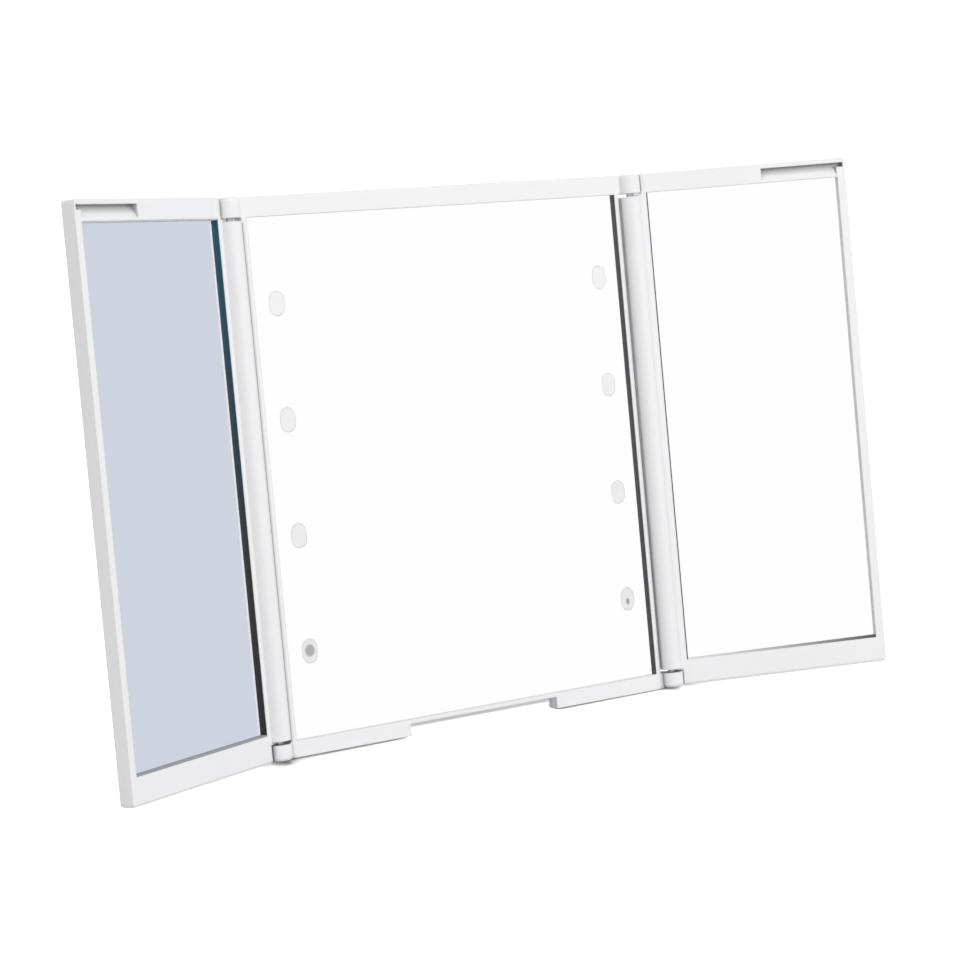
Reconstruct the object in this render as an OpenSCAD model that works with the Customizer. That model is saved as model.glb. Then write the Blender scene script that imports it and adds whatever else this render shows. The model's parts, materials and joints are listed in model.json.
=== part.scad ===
// Trifold vanity mirror: a lit centre panel and two wings that fold over it like
// shutters. It stands leaned back on its lower rear edge and on a leg behind it.
// Every panel is drawn upright: x runs to the right, y to the rear and z up from
// its lower edge. stand_up() then leans the whole mirror back, as it is shown.

/* [Panels] */
// Height of all three panels
panel_h = 190; // [150:1:240]
// Width of the centre panel, without its hinges
centre_w = 160; // [140:1:200]
// Thickness of the centre frame at its rim
frame_t = 5; // [4.9:0.1:7]
// Thickness of a wing
wing_t = 4.8; // [4.7:0.1:6]
// Height of the top rails
top_rail = 7; // [6:0.1:10]
// Height of the centre panel's bottom rail
centre_bottom_rail = 5.7; // [5.4:0.1:9]
// Height of the wings' bottom rails
wing_bottom_rail = 9.4; // [7:0.1:12]
// Width of the centre panel's side lips
side_lip = 2.3; // [2.2:0.1:5]
// Width of a wing's lip beside the hinge
hinge_lip = 2.4; // [2.2:0.1:5]
// Width of a wing's lip at its free edge
outer_lip = 3.3; // [2.8:0.1:6]
// Radius of the panels' outer corners
corner_r = 1.5; // [0.5:0.1:2.5]
// Bevel along the wings' lower front edges
lower_bevel = 0.9; // [0.3:0.1:1.3]

/* [Glass] */
// Depth of the mirror face below the lip
lip_depth = 1.4; // [0.8:0.1:1.6]
// Thickness of a mirror pane
glass_t = 2; // [1.5:0.1:2.2]
// Thickness of the adhesive tape behind a pane
tape_t = 0.4; // [0.2:0.1:0.5]
// How far a lip reaches over the edge of its pane
lip_overlap = 0.8; // [0.5:0.1:0.9]
// Play between the edge of a pane and its frame
glass_play = 0.2; // [0.1:0.05:0.3]
// Width of the tape
tape_w = 2.6; // [1:0.1:3]

/* [Stance] */
// Lean of the mirror from upright, in degrees
recline = 10; // [6:0.5:12]
// Fold of the left wing forward from flat, in degrees
fold_left = 26.5; // [5:0.5:60]
// Fold of the right wing forward from flat, in degrees
fold_right = 22; // [5:0.5:60]
// Width of the flat that the lower rear edge stands on
land_w = 1.5; // [0.5:0.1:2.5]

/* [Hinges] */
// Radius of the hinge barrels and ears
barrel_r = 4; // [3:0.1:4.5]
// Gap between a barrel and the side of the centre frame
hinge_gap = 0.6; // [0.4:0.1:1.2]
// Gap between a barrel's end and its ear
ear_gap = 1.2; // [0.5:0.1:2]
// Gap between an ear and the end of a wing's rail
rail_gap = 0.6; // [0.3:0.1:1.5]
// How far the hinge axis lies in front of the lips
axis_lift = 0.25; // [0.15:0.05:0.6]
// Rounding of the ears' outer ends
ear_round = 1.3; // [0.5:0.1:2]
// Radius of the hinge pins
pin_r = 1.25; // [0.8:0.05:1.6]
// Length of the hinge pins
pin_len = 14; // [12:0.5:20]
// How far a pin's outer end lies below its ear's face
pin_sink = 0.6; // [0.2:0.1:1]
// Gap between the closed wings' free edges, for each wing
closing_gap = 0.3; // [0.2:0.1:1]

/* [Notches] */
// Width of the notch in the bottom rail, in front of the leg's tip
notch_w = 63; // [40:1:70]
// Height of that notch
notch_h = 4.2; // [3.5:0.1:4.6]
// Length of the nail recess in a wing's top rail
nail_l = 29.5; // [15:0.5:40]
// Thickness of the ledge above the nail recess
nail_ledge = 1.7; // [0.8:0.1:2]
// Depth of the nail recess
nail_depth = 2.6; // [1.6:0.1:3]
// Height of the slot that opens the recess to the free edge
nail_slot_h = 1.6; // [1:0.1:3]
// Depth of that slot
nail_slot_depth = 2.2; // [0.8:0.1:2.6]
// Length of that slot
nail_slot_l = 2.6; // [1:0.1:2.8]
// Rounding of the centre frame's front edges beside the barrels
side_round = 0.8; // [0.3:0.1:1.2]

/* [Lights] */
// Number of lamps in each column
lamps = 4; // [2:1:5]
// Height of the lowest lamp above the panel's lower edge
lamp_z = 35; // [30:0.5:45]
// Spacing of the lamps
lamp_pitch = 39.5; // [20:0.5:40]
// Distance of each lamp column from the panel's side
lamp_x = 11.6; // [11:0.1:25]
// Width of a lamp's lens
lens_w = 5.8; // [4:0.1:7]
// Height of a lamp's lens
lens_h = 8.2; // [7:0.1:12]
// Play around a lens in the glass
lens_play = 0.1; // [0.05:0.05:0.2]
// Width of a light strip
strip_w = 8; // [7:0.1:9]
// Thickness of the circuit boards
board_t = 0.8; // [0.6:0.1:1.2]
// Width, height and thickness of one light-emitting diode
diode = [2.8, 3.5, 0.7];

/* [Rear housing] */
// Thickness of the wings' back panels
skin_t = 1; // [0.8:0.1:1.1]
// Depth of the rear housing behind the frame
housing_d = 4.2; // [4.2:0.1:7]
// Wall of the rear housing
housing_wall = 1.4; // [1:0.1:1.6]
// Slope of the housing's sides, in millimetres over its depth
draft = 2.2; // [0:0.1:3]
// Flange left around the housing
flange_w = 3.6; // [3:0.1:6]
// Lower edge of the housing
housing_z = 7; // [6.5:0.1:12]
// Upper edge of the housing, below the panel's top
housing_top = 9; // [8.5:0.1:14]
// Play between the housing and the frame that it drops into
housing_play = 0.15; // [0.1:0.05:0.3]

/* [Leg] */
// Width of the leg
leg_w = 54; // [30:1:60]
// Thickness of the leg
leg_t = 3.2; // [2.5:0.1:3.4]
// Height of the leg's pivot
pivot_z = 110; // [90:1:118]
// Distance from the pivot to the foot
leg_l = 109.4; // [89:0.1:117.6]
// Radius of the leg's pivot pin
leg_pin_r = 0.8; // [0.6:0.1:1]
// Length of the pivot pin in each side of the housing
leg_pin_grip = 3; // [2:0.5:5]
// Play on each side of the leg
leg_play = 0.5; // [0.3:0.1:1]
// Length of the rubber foot on the leg
foot_l = 7; // [5:0.5:12]

/* [Battery and switch] */
// Diameter of a coin cell
cell_d = 20; // [18:0.1:20]
// Thickness of a coin cell
cell_t = 3.2; // [2.5:0.1:3.2]
// Distance between the two cells' centres
cell_pitch = 24; // [22:0.5:28]
// Distance of the cells' centres below the panel's top
cell_z = 27; // [25:0.5:35]
// Width of the battery door
door_w = 54; // [50:0.5:58]
// Lower edge of the battery door, below the panel's top
door_z = 42; // [40:0.5:46]
// Thickness of the battery door
door_t = 1.1; // [0.9:0.1:1.3]
// Travel of the battery door before it lifts off
door_travel = 8; // [7:0.5:8]
// Play around the door
door_play = 0.3; // [0.3:0.05:0.4]
// Distance of the power button from the panel's side
button_x = 31; // [28:0.5:35]
// Distance of the power button below the panel's top
button_z = 40; // [35:0.5:45]
// Radius of the power button
button_r = 4.4; // [3:0.1:6]
// Travel of the power button
button_travel = 0.6; // [0.4:0.1:0.8]
// How far the button stands out of the housing
button_proud = 1; // [0.8:0.1:1.5]

/* [Small parts] */
// Running play of pins in their bores, on the radius
pin_play = 0.05; // [0.02:0.01:0.1]
// Play of pressed or glued pieces, on the radius
seat_play = 0.02; // [0.01:0.01:0.05]
// Diameter of the closing magnets
magnet_d = 2.5; // [2:0.1:2.6]
// Thickness of the closing magnets
magnet_t = 1.5; // [1:0.1:1.8]
// Distance of each magnet from the middle
magnet_x = 36; // [34:0.5:42]
// Shank radius of the housing screws
screw_r = 0.8; // [0.6:0.1:1]
// Head radius of the housing screws
screw_head_r = 1.5; // [1.2:0.1:1.6]
// Head height of the housing screws
screw_head_h = 0.9; // [0.6:0.1:1.2]
// Radius of the wires
wire_r = 0.6; // [0.4:0.1:0.7]

/* [Hidden] */
$fn = 48;
// Small overrun of cutting tools past the faces that they cut
over = 1;

// Hinges
hinge_x = centre_w/2 + hinge_gap + barrel_r;
wing_w = centre_w/2 + hinge_gap - closing_gap;
wing_reach = barrel_r + wing_w;
barrel_low = centre_bottom_rail + ear_gap;
barrel_high = panel_h - top_rail - ear_gap;
ear_top = top_rail;
ear_low = centre_bottom_rail;

// Layers behind a lip
glass_back = lip_depth + glass_t;
tape_back = glass_back + tape_t;
rebate = lip_overlap + glass_play;

// Rear housing
rim = 1.6;
housing_x = centre_w/2 - rim - flange_w;
housing_high = panel_h - housing_top;
housing_back = frame_t + housing_d;
housing_floor = housing_back - housing_wall;
rail_seat = centre_bottom_rail - rebate;
low_fixing_z = (rim + rail_seat)/2;
high_fixing_z = panel_h - (rim + top_rail - rebate)/2;
screw_side = 20;
screw_x = centre_w/2 - screw_side;

// Leg, with the clearance that moving pieces keep
clear = 0.3;
leg_bay = leg_w/2 + leg_play;
bay_floor = frame_t + 0.2;
bay_skin = 1;
pivot_floor = frame_t - 0.3;
pivot_skin = 0.8;
leg_y = housing_back - clear - leg_t/2;
hub_r = leg_t/2 + 0.15;
bay_high = pivot_z + 4.5;
bay_wall = 1.2;
lug_z = 5;
land_y = frame_t - land_w;
foot_r = leg_t/2;
foot_slot = 1.6;
foot_side = 2;
// A leg too short for the wanted lean lets the mirror settle further back, until the
// leg meets the table with its least lean
least_lean = 3;
pivot_out = norm([pivot_z, leg_y - land_y]);
settled = acos(min(1, (foot_r + (leg_l - foot_r)*cos(least_lean))/pivot_out))
    - atan((leg_y - land_y)/pivot_z);
tilt = max(recline, settled);
pivot_up = pivot_z*cos(tilt) - (leg_y - land_y)*sin(tilt);
leg_lean = acos((pivot_up - foot_r)/(leg_l - foot_r));
leg_open = leg_lean + tilt;
leg_low = pivot_z - leg_l;
// The heel above the pivot meets the pivot's floor when the leg is open
heel = (leg_y - pivot_floor - clear - leg_t/2*cos(leg_open))/sin(leg_open);

// Sunk fields on the leg, two in a column, with ribs around them
field_foot = 8;
field_top = 12.4;
field_rib = 6;
field_side = 5;
field_deep = 0.9;
field_h = (leg_l - foot_l - field_foot - field_top - field_rib)/2;

// Lamps
lamp_mid_x = centre_w/2 - lamp_x;
strip_low = lamp_z - 7;
strip_high = lamp_z + (lamps - 1)*lamp_pitch + 7;
diode_y = glass_back + 0.1;
board_y = diode_y + diode[2];
board_back = board_y + board_t;
rest_w = 2;

// Battery
cell_mid_z = panel_h - cell_z;
door_low = panel_h - door_z;
tray_back = glass_back + 0.2;
tray_floor = tray_back + 0.7;
contact_t = 0.3;
leaf_h = 5;
cell_y = tray_floor + contact_t;
tray_x = cell_pitch/2 + cell_d/2 + 1.5;
tray_low = cell_mid_z - cell_d/2 - 1.5;
tray_high = cell_mid_z + cell_d/2 + 1.5;
tray_wall = 1;
tray_rib_x = 12;
door_y = housing_back - door_t;
door_high = housing_high - draft;
runner_t = 0.9;
tongue_t = 0.5;
tongue_w = 1.2;
tongue_y = housing_floor - clear - tongue_t;
tongue_l = 5.5;
tongue_z = [door_low + 2.5, door_low + 15];
door_ribs = 4;

// Switch
button_mid_x = centre_w/2 - button_x;
button_mid_z = panel_h - button_z;
main_board_w = 22;
main_board_h = 26;
main_board_x = button_mid_x - 1;
main_board_z = button_mid_z - 2;
switch_w = 6;
switch_t = 0.7;
plunger_r = 1.5;
button_flange_r = button_r + 0.9;
button_flange_t = 0.6;
button_seat = housing_floor - clear;
button_base = button_seat - button_flange_t;
plunger_top = button_base - button_travel - clear;

// Wires run on the boards' rear faces
wire_y = board_back + wire_r + 0.05;
wire_z = tray_low - 6;
wire_step = 2;
low_wire_z = tray_low + 3;
high_wire_z = tray_high - 1.5;
high_wire_x = main_board_x - 6;

// Magnets
magnet_y = 1;

// Bevel that keeps the wings' lower rear edges off the table
rear_bevel_w = 2;
rear_bevel_h = 0.5;

// Middle of the whole mirror on the ground, measured at its outermost edges
left_reach = hinge_x + wing_reach*cos(fold_left) + (wing_t + axis_lift)*sin(fold_left);
right_reach = hinge_x + wing_reach*cos(fold_right) + (wing_t + axis_lift)*sin(fold_right);
widest_fold = max(fold_left, fold_right);
front_reach = axis_lift + wing_reach*sin(widest_fold) - axis_lift*cos(widest_fold);
front_y = -(front_reach + land_y)*cos(tilt) + lower_bevel*sin(tilt);
foot_reach = pivot_z*sin(tilt) + (leg_y - land_y)*cos(tilt)
    + (leg_l - foot_r)*sin(leg_lean) + foot_r;
middle_x = (right_reach - left_reach)/2;
middle_y = (front_y + foot_reach)/2;

// ---- Placing ----

// Leans the upright mirror back onto its rear edge, with its middle at the origin
module stand_up() {
    translate([-middle_x, -middle_y, 0])
        rotate([-tilt, 0, 0])
            translate([0, -land_y, 0])
                children();
}

// Puts a wing, drawn from its hinge axis outwards, at the centre panel's left or right
module at_hinge(side) {
    fold = side < 0 ? fold_left : fold_right;
    stand_up()
        translate([side*hinge_x, -axis_lift, 0])
            rotate([0, 0, -side*fold])
                scale_side(side)
                    translate([0, axis_lift, 0])
                        children();
}

// Mirrors a wing for the left side
module scale_side(side) {
    if (side < 0) {
        mirror([1, 0, 0]) children();
    } else {
        children();
    }
}

// Places a child at both sides of the centre panel
module both_sides() {
    for (side = [-1, 1]) {
        scale_side(side) children();
    }
}

// ---- Shared shapes ----

// Box between two corners
module block(low, high) {
    translate(low) cube(high - low);
}

// Plate with rounded corners, from y0 back to y1
module plate(x0, x1, z0, z1, y0, y1, r) {
    translate([0, y1, 0])
        rotate([90, 0, 0])
            linear_extrude(y1 - y0)
                union() {
                    translate([x0 + r, z0]) square([x1 - x0 - 2*r, z1 - z0]);
                    translate([x0, z0 + r]) square([x1 - x0, z1 - z0 - 2*r]);
                    for (x = [x0 + r, x1 - r], z = [z0 + r, z1 - r]) {
                        translate([x, z]) circle(r);
                    }
                }
}

// Cylinder along y
module disc(x, z, y0, y1, r) {
    translate([x, y1, z]) rotate([90, 0, 0]) cylinder(h = y1 - y0, r = r);
}

// Upright capsule, the outline of a lamp
module capsule(x, z, w, h, y0, y1) {
    plate(x - w/2, x + w/2, z - h/2, z + h/2, y0, y1, w/2 - 0.01);
}

// Runs a child at every lamp
module at_lamps() {
    for (side = [-1, 1], n = [0:lamps - 1]) {
        translate([side*lamp_mid_x, 0, lamp_z + n*lamp_pitch]) children();
    }
}

// Solid with sloping sides, from y0 out to y1
module drafted(x, z0, z1, y0, y1, slope) {
    intersection() {
        translate([0, 0, z0])
            linear_extrude(z1 - z0)
                polygon([[-x, y0], [x, y0], [x - slope, y1], [-x + slope, y1]]);
        translate([-x, 0, 0])
            rotate([90, 0, 90])
                linear_extrude(2*x)
                    polygon([[y0, z0], [y0, z1], [y1, z1 - slope], [y1, z0 + slope]]);
    }
}

// ---- Centre panel ----

// One ear with its rounded outer end upwards, on a neck to the frame
module ear(h) {
    round_in = ear_round*0.3;
    translate([hinge_x, -axis_lift, 0])
        rotate_extrude($fn = 64)
            polygon([[0, 0], [barrel_r, 0], [barrel_r, h - ear_round],
                [barrel_r - round_in, h - round_in], [barrel_r - ear_round, h], [0, h]]);
    block([centre_w/2 - rim, 0, 0], [hinge_x, frame_t, h]);
}

module ear_bore(length) {
    translate([hinge_x, -axis_lift, -over])
        cylinder(h = length + 2*over, r = pin_r + seat_play);
}

module centre_frame() {
    color("white")
        stand_up()
            difference() {
                union() {
                    plate(-centre_w/2, centre_w/2, 0, panel_h, 0, frame_t, 0.4);
                    both_sides() {
                        translate([0, 0, panel_h - ear_top]) ear(ear_top);
                        translate([0, 0, ear_low]) mirror([0, 0, 1]) ear(ear_low);
                    }
                }
                both_sides() {
                    translate([0, 0, panel_h - ear_top]) ear_bore(ear_top);
                    ear_bore(ear_low);
                }
                // Opening of the lip, then the deeper seat of the pane
                block([-centre_w/2 + side_lip, -over, centre_bottom_rail],
                      [centre_w/2 - side_lip, frame_t + over, panel_h - top_rail]);
                block([-centre_w/2 + side_lip - rebate, lip_depth, centre_bottom_rail - rebate],
                      [centre_w/2 - side_lip + rebate, frame_t + over,
                       panel_h - top_rail + rebate]);
                // Seat of the housing's flange
                block([-centre_w/2 + rim - housing_play, tape_back, rim - housing_play],
                      [centre_w/2 - rim + housing_play, frame_t + over,
                       panel_h - rim + housing_play]);
                notch(0);
                rear_land();
                at_magnets()
                    disc(0, 0, magnet_y, frame_t, magnet_d/2 + seat_play);
                at_screws()
                    disc(0, 0, lip_depth, frame_t, screw_r + seat_play);
                both_sides() side_edge_cut();
            }
}

// What the rounding takes off a front side edge, between the ears
module side_edge_cut() {
    translate([centre_w/2 - side_round, side_round, ear_low])
        linear_extrude(panel_h - ear_top - ear_low)
            difference() {
                translate([0, -side_round - 0.01]) square(side_round + 0.01);
                circle(side_round);
            }
}

// Finger notch under the leg's tip, widened by grow on every side
module notch(grow) {
    block([-notch_w/2 - grow, -over, -over],
          [notch_w/2 + grow, frame_t + over, notch_h + grow]);
}

// The flat that the lower rear edge stands on
module rear_land() {
    translate([-centre_w, land_y, 0])
        rotate([tilt, 0, 0])
            translate([0, -over, -2*over])
                cube([2*centre_w, land_w + 3*over, 2*over]);
}

module at_magnets() {
    for (side = [-1, 1]) {
        translate([side*magnet_x, 0, low_fixing_z]) children();
    }
}

module at_screws() {
    for (x = [-screw_x, 0, screw_x]) {
        translate([x, 0, high_fixing_z]) children();
    }
    for (x = [-screw_x, screw_x]) {
        translate([x, 0, low_fixing_z]) children();
    }
}

module centre_mirror() {
    color("lightsteelblue")
        stand_up()
            difference() {
                block([-centre_w/2 + side_lip - lip_overlap, lip_depth,
                       centre_bottom_rail - lip_overlap],
                      [centre_w/2 - side_lip + lip_overlap, glass_back,
                       panel_h - top_rail + lip_overlap]);
                at_lamps()
                    capsule(0, 0, lens_w + 2*lens_play, lens_h + 2*lens_play,
                        lip_depth - over, glass_back + over);
            }
}

// Tape ring between the pane and the housing's flange
module centre_tape() {
    outer_x = centre_w/2 - side_lip + lip_overlap - 0.2;
    low = centre_bottom_rail - lip_overlap + 0.2;
    high = panel_h - top_rail + lip_overlap - 0.2;
    color("dimgray")
        stand_up()
            difference() {
                block([-outer_x, glass_back, low], [outer_x, tape_back, high]);
                block([-outer_x + tape_w, glass_back - over, low + tape_w],
                      [outer_x - tape_w, tape_back + over, high - tape_w]);
            }
}

module led_lenses() {
    color("whitesmoke")
        stand_up()
            at_lamps()
                difference() {
                    capsule(0, 0, lens_w, lens_h, lip_depth, board_y);
                    block([-diode[0]/2 - 0.3, diode_y - 0.2, -diode[1]/2 - 0.3],
                          [diode[0]/2 + 0.3, board_y + over, diode[1]/2 + 0.3]);
                }
}

module leds() {
    color("khaki")
        stand_up()
            at_lamps()
                block([-diode[0]/2, diode_y, -diode[1]/2], [diode[0]/2, board_y, diode[1]/2]);
}

module led_strip(side) {
    color("seagreen")
        stand_up()
            block([side*lamp_mid_x - strip_w/2, board_y, strip_low],
                  [side*lamp_mid_x + strip_w/2, board_back, strip_high]);
}

module led_strip_left() {
    led_strip(-1);
}

module led_strip_right() {
    led_strip(1);
}

// ---- Switch, wires and battery ----

module main_board() {
    color("seagreen")
        stand_up()
            block([main_board_x - main_board_w/2, board_y, main_board_z - main_board_h/2],
                  [main_board_x + main_board_w/2, board_back, main_board_z + main_board_h/2]);
}

module power_switch() {
    color("gray")
        stand_up() {
            block([button_mid_x - switch_w/2, board_back, button_mid_z - switch_w/2],
                  [button_mid_x + switch_w/2, board_back + switch_t, button_mid_z + switch_w/2]);
            disc(button_mid_x, button_mid_z, board_back + switch_t, plunger_top, plunger_r);
        }
}

module power_button() {
    color("white")
        stand_up() {
            disc(button_mid_x, button_mid_z, button_base, button_seat, button_flange_r);
            disc(button_mid_x, button_mid_z, button_seat, housing_back + button_proud - 0.4, button_r);
            disc(button_mid_x, button_mid_z, button_seat, housing_back + button_proud, button_r - 0.4);
        }
}

module wire_along(x0, x1, z) {
    translate([x0, wire_y, z])
        rotate([0, 90, 0])
            cylinder(h = x1 - x0, r = wire_r, $fn = 24);
}

module wire_pair(x0, x1, z) {
    wire_along(x0, x1, z);
    wire_along(x0, x1, z + wire_step);
}

module left_led_wires() {
    color("firebrick")
        stand_up()
            wire_pair(-lamp_mid_x + strip_w/2 - 2, main_board_x - main_board_w/2 + 2, wire_z);
}

module right_led_wires() {
    color("firebrick")
        stand_up()
            wire_pair(main_board_x + main_board_w/2 - 2, lamp_mid_x - strip_w/2 + 2, wire_z);
}

// One wire from each contact to the switch board
module supply_wires() {
    board_left = main_board_x - main_board_w/2;
    board_high = main_board_z + main_board_h/2;
    color("firebrick")
        stand_up() {
            wire_along(tray_x - 1.2, board_left + 2, low_wire_z);
            wire_along(tray_x - 1.2, high_wire_x, high_wire_z);
            translate([high_wire_x, wire_y, high_wire_z]) sphere(wire_r, $fn = 24);
            translate([high_wire_x, wire_y, board_high - 3])
                cylinder(h = high_wire_z - board_high + 3, r = wire_r, $fn = 24);
        }
}

module coin_cells() {
    color("silver")
        stand_up()
            for (side = [-1, 1]) {
                disc(side*cell_pitch/2, cell_mid_z, cell_y + 0.5, cell_y + cell_t, cell_d/2);
                disc(side*cell_pitch/2, cell_mid_z, cell_y, cell_y + 0.5, cell_d/2 - 1.5);
            }
}

// A leaf under the cells and a strip along their upper rims, each with a tab at the right
module battery_contacts() {
    tab_x = tray_x - 1.6;
    rim_z = cell_mid_z + cell_d/2 + seat_play;
    color("gold")
        stand_up() {
            block([-tray_x + 2, tray_floor, low_wire_z - 1.5],
                  [tab_x, cell_y, low_wire_z - 1.5 + leaf_h]);
            block([tab_x, tray_floor, low_wire_z - 1.5],
                  [tab_x + contact_t, wire_y + wire_r, low_wire_z + 1.5]);
            block([-tray_x + 2, tray_floor, rim_z],
                  [tab_x + contact_t, wire_y + wire_r, rim_z + contact_t]);
        }
}

// ---- Rear housing ----

module back_housing() {
    color("white")
        stand_up()
            difference() {
                union() {
                    housing_shell();
                    bay_walls();
                    tray_walls();
                    board_rests();
                }
                bay_space();
                block([-tray_x, tray_floor, tray_low], [tray_x, housing_back + over, tray_high]);
                door_seat();
                disc(button_mid_x, button_mid_z, housing_floor - over, housing_back + over,
                    button_r + clear);
                leg_pin_bore();
                notch(housing_play);
                at_screws()
                    disc(0, 0, tape_back - over, frame_t + over, screw_r + 0.2);
                supply_wire_slots();
            }
}

// Flange and hollow box, open towards the glass
module housing_shell() {
    inner_x = housing_x - housing_wall;
    inner_low = housing_z + housing_wall;
    inner_high = housing_high - housing_wall;
    depth = housing_floor - frame_t + 0.2;
    difference() {
        union() {
            plate(-centre_w/2 + rim, centre_w/2 - rim, rim, panel_h - rim,
                tape_back, frame_t, 0.4);
            drafted(housing_x, housing_z, housing_high, frame_t - 0.2, housing_back, draft);
        }
        block([-inner_x, tape_back - over, inner_low], [inner_x, frame_t - 0.1, inner_high]);
        drafted(inner_x, inner_low, inner_high, frame_t - 0.2, housing_floor,
            draft*depth/housing_d);
    }
}

// Floor and sides of the bay that the leg folds into, with a lug at each end of its pin
module bay_walls() {
    side_x = leg_bay + bay_wall;
    floor_y = bay_floor - bay_skin;
    low = housing_z + housing_wall - 0.1;
    high = bay_high + bay_wall;
    block([-side_x, floor_y, low], [side_x, bay_floor, high]);
    block([-side_x, pivot_floor - pivot_skin, pivot_z - lug_z], [side_x, bay_floor, high]);
    for (side = [-1, 1]) {
        block([side*(leg_bay + bay_wall/2) - bay_wall/2, floor_y, low],
              [side*(leg_bay + bay_wall/2) + bay_wall/2, housing_floor + 0.1, high]);
        block([side*(leg_bay + 2.1) - 2.1, floor_y, pivot_z - lug_z],
              [side*(leg_bay + 2.1) + 2.1, housing_floor + 0.1, pivot_z + lug_z]);
    }
    block([-side_x, floor_y, bay_high], [side_x, housing_floor + 0.1, high]);
}

module bay_space() {
    block([-leg_bay, bay_floor, -over], [leg_bay, housing_back + over, bay_high]);
    block([-leg_bay, pivot_floor, pivot_z - lug_z + bay_skin],
          [leg_bay, housing_back, bay_high]);
}

module leg_pin_bore() {
    translate([-leg_bay - leg_pin_grip, leg_y, pivot_z])
        rotate([0, 90, 0])
            cylinder(h = 2*leg_bay + 2*leg_pin_grip + 2, r = leg_pin_r + seat_play);
}

// Box around the cells
module tray_walls() {
    x = tray_x + tray_wall;
    block([-x, tray_back, tray_low - tray_wall],
          [x, housing_floor, tray_high + tray_wall]);
    // Ribs to the housing's top wall, and to its rear wall below the door
    for (side = [-1, 1]) {
        block([side*tray_rib_x - tray_wall/2, tray_back, tray_high],
              [side*tray_rib_x + tray_wall/2, tongue_y, housing_high - housing_wall + 0.1]);
        block([side*tray_rib_x - tray_wall/2, wire_y + wire_r + 0.2, door_low - door_play - 3],
              [side*tray_rib_x + tray_wall/2, housing_floor + 0.01, tray_low]);
    }
}

// Ribs that press the boards against the lenses
module board_rests() {
    for (side = [-1, 1], z = [strip_low + 2, lamp_z + 1.5*lamp_pitch, strip_high - 4]) {
        block([side*lamp_mid_x - strip_w/2 + 1, board_back, z],
              [side*lamp_mid_x + strip_w/2 - 1, housing_floor + 0.1, z + rest_w]);
    }
    for (x = [-1, 1], z = [-1, 1]) {
        translate([main_board_x + x*(main_board_w/2 - 2), 0,
                   main_board_z + z*(main_board_h/2 - 2)])
            disc(0, 0, board_back, housing_floor + 0.1, 1.2);
    }
}

// Opening for the door, with the four side notches that its tongues lift out through
module door_seat() {
    x = door_w/2 + door_play;
    block([-x, housing_floor - 0.01, door_low - door_play], [x, housing_back + over, panel_h]);
    for (z = tongue_z) {
        block([-x - tongue_w, housing_floor - 0.01, z + door_travel - door_play],
              [x + tongue_w, housing_back + over, z + door_travel + tongue_l + door_play]);
    }
}

module supply_wire_slots() {
    for (z = [low_wire_z, high_wire_z]) {
        translate([tray_x - over, wire_y, z])
            rotate([0, 90, 0])
                cylinder(h = tray_wall + 2*over, r = wire_r + 0.1);
    }
}

module housing_screws() {
    color("silver")
        stand_up()
            at_screws()
                difference() {
                    union() {
                        disc(0, 0, lip_depth + 0.3, frame_t, screw_r);
                        disc(0, 0, frame_t, frame_t + screw_head_h, screw_head_r);
                    }
                    for (turn = [0, 90]) {
                        rotate([0, turn, 0])
                            block([-screw_head_r*0.7, frame_t + screw_head_h/2, -0.2],
                                  [screw_head_r*0.7, frame_t + screw_head_h + over, 0.2]);
                    }
                }
}

// Sliding door with two tongues a side and ribs for a thumb
module battery_door() {
    x = door_w/2;
    runner_x = x - runner_t - 0.3;
    color("white")
        stand_up() {
            difference() {
                intersection() {
                    drafted(housing_x, housing_z, housing_high, frame_t, housing_back, draft);
                    block([-x, door_y, door_low], [x, housing_back, panel_h]);
                }
                block([-x - over, door_y - over, door_high + 0.01],
                      [x + over, housing_back + over, panel_h]);
            }
            for (side = [-1, 1], z = tongue_z) {
                scale_side(side) {
                    block([runner_x, tongue_y, z], [runner_x + runner_t, door_y + 0.1, z + tongue_l]);
                    block([runner_x, tongue_y, z],
                          [x + door_play + tongue_w/2, tongue_y + tongue_t, z + tongue_l]);
                }
            }
            for (n = [0:door_ribs - 1]) {
                block([-8, housing_back - 0.1, door_high - 6 - 2*n],
                      [8, housing_back + 0.4, door_high - 5 - 2*n]);
            }
        }
}

// ---- Leg ----

// Places the leg, drawn folded, at its open stop
module open_leg() {
    stand_up()
        translate([0, leg_y, pivot_z])
            rotate([leg_open, 0, 0])
                translate([0, -leg_y, -pivot_z])
                    children();
}

module stand_pin() {
    color("silver")
        stand_up()
            translate([-leg_bay - leg_pin_grip + 0.1, leg_y, pivot_z])
                rotate([0, 90, 0])
                    cylinder(h = 2*leg_bay + 2*leg_pin_grip - 0.2, r = leg_pin_r);
}

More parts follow.
